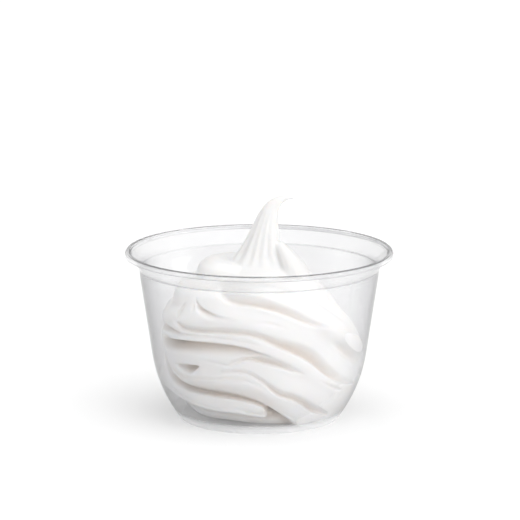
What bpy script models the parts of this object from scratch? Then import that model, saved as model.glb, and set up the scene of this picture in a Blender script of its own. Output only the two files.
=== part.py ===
"""Vanilla soft-serve ice cream, with a pulled peak, in a clear plastic dessert cup.

Two solids: the thin-walled cup, turned about its axis, and the ice cream, one mass of piped
strands that lies in the cup. The front is -Y. The origin is on the surface that the cup stands
on, under its middle. Lengths are millimetres until a mesh is made, and angles are degrees.
"""

import math
from collections import namedtuple

import bpy
import numpy as np

MM = 0.001

# ---------------------------------------------------------------- the cup's sizes
CUP_HEIGHT = 62.0
RIM_RADIUS = 49.0
WALL = 0.5  # thickness of the plastic
SEGMENTS = 64  # facets round the cup

SHOULDER_Z = 55.4  # foot of the flared neck
SHOULDER_RADIUS = 43.8
TAPER_TOP_Z = 52.5  # top of the straight part of the side
TAPER_TOP_RADIUS = 43.6
TAPER_ANGLE = 8.5  # lean of the side from upright
BOWL_RADIUS = 52.0  # bend of the lower side, seen from the side
BOWL_TOP_Z = 24.0  # where the bend meets the straight side

LIP_WIDTH = 2.1  # of the rolled lip, from the neck to its outer edge
LIP_DROP = 1.8  # height of the lip's outer side

FLOOR_Z = 2.2  # top of the floor, which is raised on a hollow foot ring
FLOOR_RADIUS = 27.5
FOOT_INNER = 27.8  # flat ring that the cup stands on
FOOT_OUTER = 29.0
FOOT_ROUND = 0.35

# ---------------------------------------------------------------- the ice cream's sizes
GAP = 0.3  # from the ice cream to the cup
VOXEL = 0.6  # grain at which the strands are fused
FACES = 4300  # triangles left after thinning
STRAND_STEPS = 150
STRAND_SIDES = 28
DRAPE_STEPS = 90
PEAK_STEPS = 110
PEAK_SIDES = 120
LOWEST_STRAND_Z = 4.5
HEAP_RADIUS = 37.0  # how far the heap reaches below its shoulder
HEAP_SLOPE = 0.85  # how fast it narrows above it

# ---------------------------------------------------------------- small helpers


def ease(t):
    t = np.clip(t, 0.0, 1.0)
    return t * t * (3 - 2 * t)


def ramp(x, softness):
    """x above zero and nothing below it, with a rounded start."""
    return softness * np.log1p(np.exp(np.clip(x / softness, -30, 30)))


def spline(stations, steps):
    """A smooth curve through the stations, each column a quantity (a natural cubic)."""
    points = np.array(stations, float)
    count = len(points)
    matrix = np.zeros((count, count))
    right = np.zeros_like(points)
    matrix[0, 0] = matrix[-1, -1] = 1
    for i in range(1, count - 1):
        matrix[i, i - 1 : i + 2] = (1, 4, 1)
        right[i] = 6 * (points[i - 1] - 2 * points[i] + points[i + 1])
    bend = np.linalg.solve(matrix, right)
    place = np.linspace(0, count - 1, steps)
    i = np.minimum(place.astype(int), count - 2)
    after = (place - i)[:, None]
    before = 1 - after
    return (
        (bend[i] * before**3 + bend[i + 1] * after**3) / 6
        + (points[i] - bend[i] / 6) * before
        + (points[i + 1] - bend[i + 1] / 6) * after
    )


def around(angle, radius, z):
    """Points at an angle about the axis, which is 0 at the front and 90 on the right."""
    turn = np.radians(angle)
    return np.stack([radius * np.sin(turn), -radius * np.cos(turn), z + 0 * turn], -1)


def unit(vectors):
    return vectors / np.linalg.norm(vectors, axis=1)[:, None]


def collection(name):
    made = bpy.data.collections.new(name)
    bpy.context.scene.collection.children.link(made)
    return made


def material(name, colour, roughness, transmission=0.0):
    made = bpy.data.materials.new(name)
    made.use_nodes = True
    shader = made.node_tree.nodes["Principled BSDF"]
    shader.inputs["Base Color"].default_value = (*colour, 1)
    shader.inputs["Roughness"].default_value = roughness
    shader.inputs["Metallic"].default_value = 0.0
    shader.inputs["Transmission Weight"].default_value = transmission
    return made


def add_object(name, mesh, into, finish):
    made = bpy.data.objects.new(name, mesh)
    made.data.materials.append(finish)
    into.objects.link(made)
    return made


# ---------------------------------------------------------------- the cup


def side_radius(z):
    """The outer radius of the side at a height: a straight taper over a wide arc."""
    lean = math.radians(TAPER_ANGLE)
    if z >= BOWL_TOP_Z:
        return TAPER_TOP_RADIUS - (TAPER_TOP_Z - z) * math.tan(lean)
    join = TAPER_TOP_RADIUS - (TAPER_TOP_Z - BOWL_TOP_Z) * math.tan(lean)
    centre = join - BOWL_RADIUS * math.cos(lean)
    centre_z = BOWL_TOP_Z + BOWL_RADIUS * math.sin(lean)
    return centre + math.sqrt(BOWL_RADIUS**2 - (centre_z - z) ** 2)


def inner_radius(z):
    return side_radius(z) - WALL


def lip_profile():
    """The rolled lip, from the inside of the neck over the top and down the outer side of it."""
    neck = RIM_RADIUS - LIP_WIDTH  # outer radius of the neck where the lip starts
    edge_z = CUP_HEIGHT - LIP_DROP
    roll = LIP_WIDTH / 2 - 0.1
    middle = RIM_RADIUS - roll
    outer = []
    for step in range(5):
        turn = math.radians(110 - 35 * step)
        outer.append((middle + roll * math.cos(turn), CUP_HEIGHT - roll + roll * math.sin(turn)))
    inner = []
    under = roll - WALL
    for step in range(4):
        turn = math.radians(60 * step)
        inner.append((middle + under * math.cos(turn), CUP_HEIGHT - roll + under * math.sin(turn)))
    return (
        [(neck - WALL, edge_z)]
        + outer
        + [(RIM_RADIUS - 0.08, edge_z), (RIM_RADIUS - WALL, edge_z)]
        + inner
        + [(neck, edge_z)]
    )


def cup_profile():
    """One line round the plastic: along the floor, up the inside, over the lip and down the outside."""
    groove = FOOT_OUTER - WALL
    floor = [
        (0, FLOOR_Z),
        (FLOOR_RADIUS, FLOOR_Z),
        (FLOOR_RADIUS + 0.6, FLOOR_Z - 0.4),
        (FLOOR_RADIUS + 0.8, WALL + 0.2),
        (groove, WALL),
    ]
    inside = []
    for z in (1.2, 3.2, 6.0, 9.5, 14.0, 19.0, BOWL_TOP_Z, TAPER_TOP_Z):
        inside.append((inner_radius(z), z))
    inside.append((SHOULDER_RADIUS - WALL, SHOULDER_Z + 0.1))
    outside = [(SHOULDER_RADIUS, SHOULDER_Z), (TAPER_TOP_RADIUS + 0.35, TAPER_TOP_Z + 0.8)]
    for z in (TAPER_TOP_Z, BOWL_TOP_Z, 19.0, 14.0, 9.5, 6.0, 3.2, 1.2):
        outside.append((side_radius(z), z))
    foot = [
        (side_radius(FOOT_ROUND) - 0.04, FOOT_ROUND),
        (FOOT_OUTER, 0),
        (FOOT_INNER, 0),
        (FOOT_INNER - 0.2, 0.2),
        (FOOT_INNER - 0.2, FLOOR_Z - WALL - 0.3),
        (FOOT_INNER - 0.6, FLOOR_Z - WALL),
        (0, FLOOR_Z - WALL),
    ]
    return floor + inside + lip_profile() + outside + foot


def build_cup(into):
    profile = cup_profile()
    mesh = bpy.data.meshes.new("cup")
    points = [(r * MM, 0, z * MM) for r, z in profile]
    mesh.from_pydata(points, [(i, i + 1) for i in range(len(points) - 1)], [])
    plastic = material("clear_plastic", (0.95, 0.96, 0.97), 0.04, 1.0)
    cup = add_object("cup", mesh, into, plastic)
    screw = cup.modifiers.new("turn", "SCREW")
    screw.axis = "Z"
    screw.steps = SEGMENTS
    screw.render_steps = SEGMENTS
    screw.use_merge_vertices = True
    screw.merge_threshold = 0.00001
    screw.use_smooth_shade = True
    return cup


# ---------------------------------------------------------------- the ice cream


def heap_radius(angle, z):
    """The radius inside which the heap narrows to its top. It is higher on the left than the right."""
    shoulder = np.interp(angle, [-270, -180, -90, 0, 90], [31.0, 38.5, 39.5, 41.5, 30.5])
    return HEAP_RADIUS - HEAP_SLOPE * ramp(z - shoulder, 1.5)


def loft(rings):
    """A closed surface over rings of points, with a point in the middle of each end."""
    count, sides, _ = rings.shape
    points = np.concatenate([rings.reshape(-1, 3), rings[:1].mean(1), rings[-1:].mean(1)])
    first = count * sides
    last = first + 1
    faces = []
    for j in range(sides):
        k = (j + 1) % sides
        for i in range(0, first - sides, sides):
            faces.append((i + j, i + k, i + sides + k, i + sides + j))
        faces.append((first, k, j))
        faces.append((last, first - sides + j, first - sides + k))
    return points, faces


def strand_rings(centre, outward, high, deep, lean, sides):
    """Egg-shaped sections along a path. The lean pushes the lower half of each out, over the next."""
    along = unit(np.gradient(centre, axis=0))
    out = unit(outward - (outward * along).sum(1)[:, None] * along)
    up = np.cross(out, along)
    turn = np.linspace(0, 2 * np.pi, sides, endpoint=False)[None]
    across = (np.cos(turn) - lean * np.sin(turn)) * deep[:, None]
    rise = np.sin(turn) * high[:, None]
    return centre[:, None] + across[..., None] * out[:, None] + rise[..., None] * up[:, None]


def rounded_ends(steps, head, tail):
    """A size factor that rounds off the first and last share of a strand."""
    place = np.linspace(0, 1, steps)
    start = np.clip(1 - place / head, 0, 1) ** 2.4
    end = np.clip(1 - (1 - place) / tail, 0, 1) ** 2.4
    return np.sqrt(np.maximum(1 - start, 0.002) * np.maximum(1 - end, 0.002))


# A strand of the coil. It starts behind, comes round the left and falls to the right in front.
# level: its height in front; fall_from, fall: the angle where it starts to fall, and mm a degree;
# sag: how much lower it lies on the left; climb: how much higher behind than on the left;
# high, deep: half its section; lean: see strand_rings; spread: how much it widens to the right;
# clear: how far it stays from the cup at the right rear, rear, left, front and right.
Strand = namedtuple("Strand", "level fall_from fall sag climb high deep lean spread clear start end")
STATIONS = (-280, -180, -90, -5, 45)  # the angles of clear's five values
COIL = (
    Strand(46.8, 16, 0.30, 0.5, 6.0, 5.4, 6.0, 0.15, 0.00, (6.0, 4.0, 6.5, 4.4, 8.0), -222, 8),
    Strand(43.2, 8, 0.40, 5.0, 12.0, 4.9, 6.0, 0.35, 0.30, (3.0, 2.0, 5.0, 2.8, 0.0), -226, 100),
    Strand(35.4, 6, 0.41, 4.8, 13.6, 3.5, 4.8, 0.60, 0.10, (1.5, 1.8, 4.6, 2.0, 0.0), -230, 98),
    Strand(28.2, 2, 0.40, 3.6, 13.2, 4.2, 4.6, 0.30, 0.00, (1.0, 1.6, 5.6, 3.3, 0.0), -232, 92),
    Strand(23.4, 4, 0.42, 3.0, 12.6, 3.6, 4.2, 0.30, 0.00, (1.5, 2.2, 7.0, 3.6, 0.2), -226, 84),
    Strand(20.2, -1, 0.46, 0.4, 9.4, 3.3, 4.8, 0.60, 0.00, (0.0, 1.2, 3.8, 2.0, 0.2), -234, 50),
    Strand(11.8, -6, 0.24, -4.0, 8.6, 2.9, 4.8, 0.45, 0.00, (0.0, 1.4, 0.3, 1.8, 2.5), -238, 9),
    Strand(6.2, 10, 0.10, -1.0, 1.0, 3.4, 5.0, 0.10, 0.00, (2.5, 3.0, 7.0, 6.5, 4.0), -300, 60),
    Strand(18.0, -176, 0.22, 0.0, 0.0, 3.8, 4.8, 0.50, 0.00, (0.0, 1.0, 3.0, 5.0, 5.0), -236, -104),
    Strand(11.4, -184, 0.20, 0.0, 0.0, 3.6, 4.8, 0.35, 0.00, (0.0, 1.6, 4.0, 5.0, 5.0), -234, -126),
)

# Strands of the last turn. Each station is an angle, a radius, a height, and the half sizes.
Drape = namedtuple("Drape", "lean stations")
CROWN = Drape(
    0.1,
    (
        (-245, 19, 45.0, 5.0, 6),
        (-215, 18, 48.5, 6.5, 7),
        (-170, 17, 50.5, 6.5, 7),
        (-120, 15.5, 52.2, 6.8, 8),
        (-72, 13.5, 52.5, 6.8, 8.5),
        (-35, 9, 52.0, 5.0, 6),
        (-5, 6, 51.0, 3.0, 4),
    ),
)
FRONT_DRAPE = Drape(
    0.45,
    (
        (-60, 9, 51.0, 3.4, 3.6),
        (-30, 18.5, 50.8, 4.6, 5.0),
        (-2, 26.6, 51.0, 5.2, 6.0),
        (20, 29.6, 47.8, 5.6, 6.0),
        (37, 31.6, 42.6, 5.8, 6.2),
        (52, 33.4, 36.4, 5.6, 6.4),
        (66, 33.4, 30.4, 5.0, 6.2),
        (80, 31.0, 25.4, 3.4, 5.0),
    ),
)
HUMP = Drape(
    0.0,
    (
        (72, 7.0, 65.0, 1.6, 1.6),
        (66, 9.8, 61.8, 3.6, 2.8),
        (62, 13.0, 57.8, 5.2, 3.8),
        (62, 15.6, 53.2, 5.8, 4.4),
        (62, 19.0, 47.5, 6.6, 5.0),
        (62, 23.5, 40.5, 7.6, 5.6),
        (62, 26.5, 33.0, 6.6, 5.0),
    ),
)
SIDE_DRAPE = (  # angle from the drape's middle, radius, height and half sizes
    (-46, 5.0, 57.5, 3.6, 3.0),
    (-20, 9.5, 53.5, 5.0, 4.2),
    (-8, 15.0, 48.0, 7.2, 5.2),
    (0, 22.5, 40.5, 9.4, 6.0),
    (10, 29.5, 31.5, 9.8, 6.4),
    (22, 31.0, 22.5, 8.6, 6.0),
    (34, 29.5, 13.0, 5.0, 4.6),
)
SIDE_DRAPES = ((66, 0.0, 0.0), (96, -2.5, 0.0), (124, -1.0, 1.0), (154, -1.0, 4.0))  # angle, up, out
SIDE_LEAN = 0.3

PEAK = (  # x, y, z and half width, up the middle of the peak to its curled tip
    (1.0, 0, 48.0, 18.0),
    (1.0, 0, 53.5, 15.0),
    (1.0, 0, 57.5, 11.8),
    (1.1, 0, 61.0, 8.9),
    (1.5, 0, 64.5, 7.1),
    (2.1, 0, 68.5, 5.6),
    (3.0, 0, 73.0, 4.3),
    (4.6, 0, 77.3, 3.0),
    (7.0, 0, 80.0, 1.8),
    (10.0, 0, 81.2, 0.9),
    (13.3, 0, 81.1, 0.3),
)
PEAK_GROOVES = (  # the angle of each, 0 at the front and 90 on the right, its depth and half width
    (-160, 0.10, 9),
    (-128, 0.13, 11),
    (-92, 0.10, 9),
    (-58, 0.12, 10),
    (-31, 0.10, 7),
    (-9, 0.12, 7),
    (14, 0.16, 8),
    (39, 0.11, 8),
    (64, 0.14, 10),
    (96, 0.10, 9),
    (127, 0.13, 11),
    (163, 0.11, 9),
)
PEAK_TWIST = 8  # degrees the grooves turn, foot to tip

CORE = (  # radius and height
    (14, 3.0),
    (22, 3.4),
    (25, 6),
    (26, 12),
    (27, 20),
    (27.5, 30),
    (27, 38),
    (25, 46),
    (20.5, 52),
    (14, 56.5),
    (6, 59.5),
)
TUCK = 9.0  # how deep the start of a strand lies under the side drapes

# Folds in the front of the heap, each a line where one turn laps over the next. The stations are the
# angle, the height, the depth, and how far it takes to come back out above the line and below it. On a
# line drawn downward, above is its right side.
FOLDS = (
    # under the top turn, from its curled left rim down to the right
    (
        (-60, 39.4, 0.5, 1.2, 0.5),
        (-54, 37.9, 1.4, 1.9, 0.5),
        (-46, 37.2, 1.8, 2.2, 0.5),
        (-30, 37.8, 1.8, 2.4, 0.5),
        (-10, 38.3, 1.8, 2.4, 0.5),
        (2, 36.6, 2.2, 2.8, 0.5),
        (11, 33.8, 2.8, 3.8, 0.5),
        (20, 31.2, 3.2, 4.8, 0.5),
        (30, 27.4, 3.2, 4.4, 0.5),
        (40, 22.0, 2.8, 3.6, 0.5),
        (54, 17.6, 1.8, 2.4, 0.5),
        (68, 15.4, 0.4, 1.2, 0.5),
    ),
    (
        (-92, 36.8, 5.0, 0.5, 3.6),
        (-76, 36.6, 4.4, 0.5, 3.0),
        (-62, 36.1, 2.4, 0.5, 1.8),
        (-51, 35.5, 1.2, 0.5, 1.0),
        (-37, 36.2, 0.7, 0.6, 0.7),
        (-20, 36.3, 0.6, 0.6, 0.6),
        (-10, 36.0, 0.5, 0.6, 0.6),
        (-2, 34.9, 0.2, 0.6, 0.6),
    ),
    # the deep slot under the second turn
    (
        (-92, 32.0, 7.5, 0.5, 4.4),
        (-76, 32.0, 7.5, 0.5, 4.8),
        (-61, 32.3, 6.0, 0.5, 5.0),
        (-47, 33.2, 4.6, 0.5, 5.0),
        (-30, 34.0, 3.6, 0.5, 5.0),
        (-15, 33.9, 3.0, 0.5, 4.6),
        (-5, 32.7, 2.4, 0.5, 3.8),
        (5, 30.6, 0.8, 0.6, 2.5),
    ),
    (
        (-17, 27.0, 0.3, 1.2, 0.5),
        (-6, 29.1, 2.0, 2.4, 0.5),
        (2, 28.1, 2.6, 3.4, 0.5),
        (9, 26.9, 2.4, 3.2, 0.5),
        (16, 25.5, 1.8, 2.4, 0.5),
        (24, 23.6, 0.3, 1.0, 0.5),
    ),
    # a small pit at the left
    (
        (-57, 23.7, 0.8, 0.4, 0.6),
        (-52, 24.0, 3.4, 0.4, 1.6),
        (-45, 24.5, 5.0, 0.4, 3.2),
        (-40, 24.8, 4.0, 0.4, 1.8),
        (-37, 25.0, 0.5, 0.4, 0.6),
    ),
    # between the third and fourth turns
    (
        (-20, 23.9, 0.3, 1.5, 0.6),
        (-11, 24.2, 0.9, 2.0, 0.6),
        (-5, 23.2, 1.1, 2.0, 0.6),
        (1, 21.0, 1.4, 2.0, 0.5),
        (6, 18.4, 2.0, 2.2, 0.5),
        (12, 15.6, 2.4, 2.6, 0.5),
        (18, 14.3, 2.6, 2.8, 0.5),
        (26, 11.9, 2.6, 2.6, 0.5),
        (33, 9.0, 2.8, 2.6, 0.5),
        (48, 5.4, 2.0, 2.2, 0.5),
    ),
    # the lit edge along the top of the fourth turn, and its long slope down to the fold under it
    (
        (-66, 22.4, 0.5, 1.0, 0.5),
        (-58, 20.4, 0.8, 1.6, 0.5),
        (-49, 19.4, 0.8, 1.6, 0.5),
        (-36, 20.2, 0.6, 1.6, 0.5),
        (-20, 21.4, 0.5, 1.6, 0.5),
        (-8, 21.2, 0.4, 1.4, 0.5),
        (2, 18.6, 0.2, 1.0, 0.5),
    ),
    (
        (-60, 17.2, 1.0, 5.0, 0.5),
        (-34, 14.8, 1.6, 6.5, 0.5),
        (-12, 13.8, 1.8, 6.5, 0.5),
        (2, 11.4, 1.6, 5.5, 0.5),
        (14, 7.0, 0.8, 4.0, 0.5),
    ),
    # over the lowest turn
    (
        (-94, 27.0, 2.0, 2.6, 0.8),
        (-80, 23.0, 3.2, 3.0, 0.6),
        (-71, 20.4, 3.8, 2.8, 0.5),
        (-63, 17.7, 4.2, 2.8, 0.5),
        (-54, 15.8, 4.4, 2.8, 0.5),
        (-44, 15.0, 4.6, 3.0, 0.5),
        (-24, 14.4, 4.6, 3.2, 0.5),
        (-12, 13.8, 4.2, 2.8, 0.5),
        (-4, 12.8, 3.8, 2.4, 0.5),
        (2, 11.4, 3.6, 2.2, 0.5),
        (4.5, 9.4, 3.4, 2.2, 0.5),
    ),
    # the notch in the top turn and the hollow behind its rim
    (
        (-47, 48.8, 0.2, 0.4, 0.6),
        (-43, 46.6, 2.0, 0.4, 1.4),
        (-38, 45.4, 2.4, 0.4, 2.2),
        (-31, 44.5, 1.6, 0.4, 2.4),
        (-23, 43.7, 0.6, 0.5, 1.6),
        (-14, 43.2, 0.1, 0.6, 1.0),
    ),
    ((-55, 46.4, 0.1, 2.0, 0.8), (-58, 44.2, 1.0, 2.8, 0.8), (-59, 42.0, 1.3, 2.8, 0.8), (-58, 40.0, 0.4, 2.0, 0.8)),
    ((-48, 47.6, 0.1, 0.8, 0.6), (-47, 45.6, 0.7, 1.4, 0.6), (-46, 43.6, 0.1, 0.8, 0.6)),
    # under the turn at the very top
    (
        (-31, 51.0, 1.4, 2.4, 0.5),
        (-18, 48.5, 1.8, 3.2, 0.5),
        (-3, 48.1, 2.2, 4.4, 0.5),
        (13, 45.8, 2.2, 3.8, 0.5),
        (24, 42.7, 1.7, 3.0, 0.5),
        (32, 40.9, 0.8, 1.8, 0.5),
        (38, 40.0, 0.1, 1.0, 0.5),
    ),
    # the lump at the right
    ((40, 39.6, 0.1, 1.5, 0.6), (50, 37.8, 0.9, 2.4, 0.6), (62, 35.0, 1.2, 2.4, 0.6), (84, 31.0, 0.3, 1.5, 0.6)),
    ((43, 33.8, 0.1, 1.5, 1.5), (52, 30.0, 1.6, 1.8, 2.6), (65, 25.4, 1.8, 1.8, 2.6), (84, 20.6, 0.4, 1.5, 1.5)),
    # fine creases
    ((-2, 42.4, 0.1, 0.8, 0.5), (5, 42.2, 0.5, 1.2, 0.5), (13, 41.0, 0.1, 0.8, 0.5)),
    ((36, 19.8, 0.1, 1.0, 0.5), (47, 16.0, 0.7, 1.4, 0.5), (62, 13.2, 0.2, 1.0, 0.5)),
    ((-34, 27.2, 0.1, 0.8, 0.6), (-24, 27.0, 0.4, 1.2, 0.6), (-12, 25.8, 0.1, 0.8, 0.6)),
)
FOLD_STEPS = 160
FOLD_FROM = -96  # the angles between which the front is folded, and how far it takes to fade
FOLD_TO = 84
FOLD_FADE = 14
FOLD_TOP = (54.5, 2.5)
FOLD_FOOT = (  # the angle, and the height below which the front is left as it is
    (-96, 17.0),
    (-70, 13.6),
    (-57, 11.4),
    (-44, 10.2),
    (-28, 9.7),
    (-15, 9.6),
    (-8, 8.2),
    (2, 7.2),
    (5, 10.6),
    (9, 9.4),
    (13, 8.2),
    (18, 6.6),
    (25, 4.4),
    (33, 3.0),
    (96, 3.0),
)
GRID_TURN = 240  # cells round the heap and up it, by which the form the folds are cut from is found
GRID_UP = 84
GRID_TOP = 63.0
GRID_REACH = (5, 6)  # how many cells wide a dip is filled, round and up
UNROLLED = 34.0  # the radius at which distances along the surface are measured
NARROWEST = 0.9  # the least width of a fold's side


def coil_strand(strand, seed):
    angle = np.linspace(strand.start, strand.end, STRAND_STEPS)
    turn = np.radians(angle)
    z = (
        strand.level
        - strand.fall * ramp(angle - strand.fall_from, 8.0)
        - strand.sag * ease((-angle - 18) / 76)
        + strand.climb * ease((-95 - angle) / 85)
        - 0.4 * strand.climb * ease((-190 - angle) / 90)
        + 0.45 * np.sin(2.3 * turn + seed * 1.7)
        + 0.25 * np.sin(5.1 * turn + seed * 2.9)
    )
    size = rounded_ends(STRAND_STEPS, 0.035, 0.05)
    uneven = 1 + 0.07 * np.sin(3.1 * turn + seed * 4.1) + 0.03 * np.sin(7.3 * turn + seed)
    uneven = uneven * (1 + strand.spread * ease((angle + 40) / 55))
    place = np.linspace(0, 1, STRAND_STEPS)
    tucked = TUCK * np.clip(1 - place / 0.14, 0, 1) ** 2 + 4 * np.clip(1 - (1 - place) / 0.07, 0, 1) ** 2
    clear = np.interp(angle, STATIONS, strand.clear) + 0.5 * np.sin(2.9 * turn + seed * 3.3) + tucked
    wall = np.array([inner_radius(max(height, 1.5)) for height in z])
    reach = np.minimum(wall - clear, heap_radius(angle, z))
    radius = reach - strand.deep * math.sqrt(1 + strand.lean**2) * size
    centre = around(angle, radius, np.maximum(z, LOWEST_STRAND_Z))
    high = strand.high * size * uneven
    deep = strand.deep * size * (0.5 + 0.5 * uneven)
    return strand_rings(centre, around(angle, 1.0, 0.0), high, deep, strand.lean, STRAND_SIDES)


def drape_strand(drape, seed):
    angle, radius, z, high, deep = spline(drape.stations, DRAPE_STEPS).T
    size = rounded_ends(DRAPE_STEPS, 0.05, 0.12)
    size = size * (1 + 0.05 * np.sin(np.linspace(0, 9, DRAPE_STEPS) + seed * 2.2))
    outward = around(angle, 1.0, 0.45)
    return strand_rings(around(angle, radius, z), outward, high * size, deep * size, drape.lean, STRAND_SIDES)


def side_drape(middle, up, out):
    stations = [(middle + a, r + out, z + up, high, deep) for a, r, z, high, deep in SIDE_DRAPE]
    return Drape(SIDE_LEAN, stations)


def peak_rings():
    """The pulled peak: a ridged column that thins and curls over to the right."""
    path = spline(PEAK, PEAK_STEPS)
    centre = path[:, :3]
    along = unit(np.gradient(centre, axis=0))
    side = unit(np.cross(along, (0.0, 1.0, 0.0)))
    other = np.cross(side, along)
    turn = np.linspace(0, 2 * np.pi, PEAK_SIDES, endpoint=False)[None]
    bearing = 270 - np.degrees(turn) + PEAK_TWIST * np.linspace(-0.5, 0.5, PEAK_STEPS)[:, None]
    shape = 1 + 0.03 * np.cos(3 * turn + 1.0)
    fade = ease((path[:, 2:3] - 56) / 5)
    for groove, depth, width in PEAK_GROOVES:
        away = (bearing - groove + 180) % 360 - 180
        shape = shape - fade * depth * np.exp(-np.abs(away / width) ** 1.5)
    radius = path[:, 3:] * shape
    out = (radius * np.cos(turn))[..., None] * side[:, None]
    return centre[:, None] + out + (radius * np.sin(turn))[..., None] * other[:, None]


def core_rings():
    """The mass behind the strands."""
    angle = np.linspace(0, 360, SEGMENTS, endpoint=False)
    return np.stack([around(angle, radius, z) for radius, z in CORE])


def keep_in_cup(mesh):
    """Moves what would touch the cup back to the gap from it, which flattens it as the wall does."""
    points = np.zeros(len(mesh.vertices) * 3)
    mesh.vertices.foreach_get("co", points)
    points = points.reshape(-1, 3) / MM
    points[:, 2] = np.maximum(points[:, 2], FLOOR_Z + GAP)
    radius = np.hypot(points[:, 0], points[:, 1])
    limit = np.array([inner_radius(min(z, TAPER_TOP_Z)) for z in points[:, 2]]) - GAP
    points[:, :2] *= np.minimum(1, limit / np.maximum(radius, 1e-6))[:, None]
    mesh.vertices.foreach_set("co", (points * MM).reshape(-1))
    mesh.update()


def evaluated_mesh(made):
    depsgraph = bpy.context.evaluated_depsgraph_get()
    return bpy.data.meshes.new_from_object(made.evaluated_get(depsgraph))


def get_points(mesh):
    points = np.zeros(len(mesh.vertices) * 3)
    mesh.vertices.foreach_get("co", points)
    return points.reshape(-1, 3) / MM


def set_points(mesh, points):
    mesh.vertices.foreach_set("co", (points * MM).reshape(-1))
    mesh.update()


def cylinder(points):
    """The angle in degrees, height and radius of each point."""
    return (
        np.degrees(np.arctan2(points[:, 0], -points[:, 1])),
        points[:, 2],
        np.hypot(points[:, 0], points[:, 1]),
    )


def spread_rows(grid, reach, pick):
    """The greatest or least of each cell's neighbours up and down."""
    padded = np.pad(grid, ((0, 0), (reach, reach)), mode="edge")
    return pick([padded[:, i : i + grid.shape[1]] for i in range(2 * reach + 1)], axis=0)


def spread_turns(grid, reach, pick):
    """The same round the heap, which has no edge."""
    return pick([np.roll(grid, i, axis=0) for i in range(-reach, reach + 1)], axis=0)


def whole_form(points):
    """The radius of the heap over angle and height with its dips filled, as a grid."""
    angle, z, radius = cylinder(points)
    grid = np.zeros((GRID_TURN, GRID_UP))
    turn = (np.floor((angle + 180) / 360 * GRID_TURN)).astype(int) % GRID_TURN
    up = np.clip((z / GRID_TOP * GRID_UP).astype(int), 0, GRID_UP - 1)
    np.maximum.at(grid, (turn, up), radius)
    for pick in (np.max, np.min):
        grid = spread_rows(grid, GRID_REACH[1], pick)
        grid = spread_turns(grid, GRID_REACH[0], pick)
    for _ in range(2):
        grid = spread_rows(grid, 2, np.mean)
        grid = spread_turns(grid, 2, np.mean)
    return grid


def read_grid(grid, angle, z):
    turn = (angle + 180) / 360 * GRID_TURN - 0.5
    up = np.clip(z / GRID_TOP * GRID_UP - 0.5, 0, GRID_UP - 1.001)
    i = np.floor(turn).astype(int)
    j = up.astype(int)
    after = turn - i
    above = up - j
    low = grid[i % GRID_TURN, j] * (1 - after) + grid[(i + 1) % GRID_TURN, j] * after
    high = grid[i % GRID_TURN, j + 1] * (1 - after) + grid[(i + 1) % GRID_TURN, j + 1] * after
    return low * (1 - above) + high * above


def fold_depth(fold, angle, z):
    """How deep a fold lies at each angle and height."""
    path = spline(fold, FOLD_STEPS)
    scale = math.radians(1) * UNROLLED
    line = np.stack([path[:, 0] * scale, path[:, 1]], -1)
    along = unit(np.gradient(line, axis=0))
    path[:, 3:] = np.maximum(path[:, 3:], NARROWEST)
    widest = path[:, 3:].max()
    place = np.stack([angle * scale, z], -1)
    low = line.min(0) - widest
    high = line.max(0) + widest
    near = np.flatnonzero(((place > low) & (place < high)).all(1))
    depth = np.zeros(len(angle))
    for part in np.array_split(near, max(1, len(near) // 20000)):
        apart = place[part, None] - line[None]
        closest = (apart**2).sum(2).argmin(1)
        away = apart[np.arange(len(part)), closest]
        course = along[closest]
        aside = course[:, 0] * away[:, 1] - course[:, 1] * away[:, 0]
        past = (course * away).sum(1)
        deep, above, below = path[closest, 2:].T
        share = 1 - np.abs(aside) / np.where(aside > 0, above, below)
        depth[part] = deep * ease(share) * np.exp(-(past**2))
    return depth


def fold_front(points):
    """Gives the front of the heap its folds, cut into its whole form."""
    angle, z, radius = cylinder(points)
    grid = whole_form(points)
    foot = np.interp(angle, *np.array(FOLD_FOOT).T)
    share = (
        ease((angle - FOLD_FROM) / FOLD_FADE)
        * ease((FOLD_TO - angle) / FOLD_FADE)
        * ease((z - foot) / 1.2)
        * ease((FOLD_TOP[0] - z) / FOLD_TOP[1])
    )
    depth = np.zeros(len(points))
    for fold in FOLDS:
        depth = np.maximum(depth, fold_depth(fold, angle, z))
    wanted = radius + share * (read_grid(grid, angle, z) - depth - radius)
    points[:, :2] *= (wanted / np.maximum(radius, 1e-6))[:, None]
    return points


def fuse(made):
    """Makes one closed surface of all the surfaces, by cubes of a set size."""
    cubes = made.modifiers.new("fuse", "REMESH")
    cubes.mode = "VOXEL"
    cubes.voxel_size = VOXEL * MM
    fused = evaluated_mesh(made)
    made.modifiers.clear()
    made.data = fused


def build_ice_cream(into):
    shapes = [core_rings(), peak_rings()]
    for seed, strand in enumerate(COIL, 1):
        shapes.append(coil_strand(strand, seed))
    drapes = [CROWN, FRONT_DRAPE, HUMP] + [side_drape(*place) for place in SIDE_DRAPES]
    for seed, drape in enumerate(drapes, len(COIL) + 1):
        shapes.append(drape_strand(drape, seed))
    points = []
    faces = []
    for rings in shapes:
        new_points, new_faces = loft(rings)
        faces += [tuple(index + len(points) for index in face) for face in new_faces]
        points += [tuple(point * MM) for point in new_points]
    mesh = bpy.data.meshes.new("ice_cream")
    mesh.from_pydata(points, [], faces)
    cream = material("vanilla", (0.93, 0.92, 0.90), 0.5)
    made = add_object("ice_cream", mesh, into, cream)
    fuse(made)
    set_points(made.data, fold_front(get_points(made.data)))
    fuse(made)
    triangles = sum(len(face.vertices) - 2 for face in made.data.polygons)
    thin = made.modifiers.new("thin", "DECIMATE")
    thin.ratio = FACES / triangles
    thinned = evaluated_mesh(made)
    made.modifiers.clear()
    keep_in_cup(thinned)
    thinned.shade_smooth()
    made.data = thinned
    return made


def main():
    for made in list(bpy.data.objects):
        bpy.data.objects.remove(made)
    parts = collection("ice_cream_cup")
    build_cup(parts)
    build_ice_cream(parts)


main()
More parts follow.
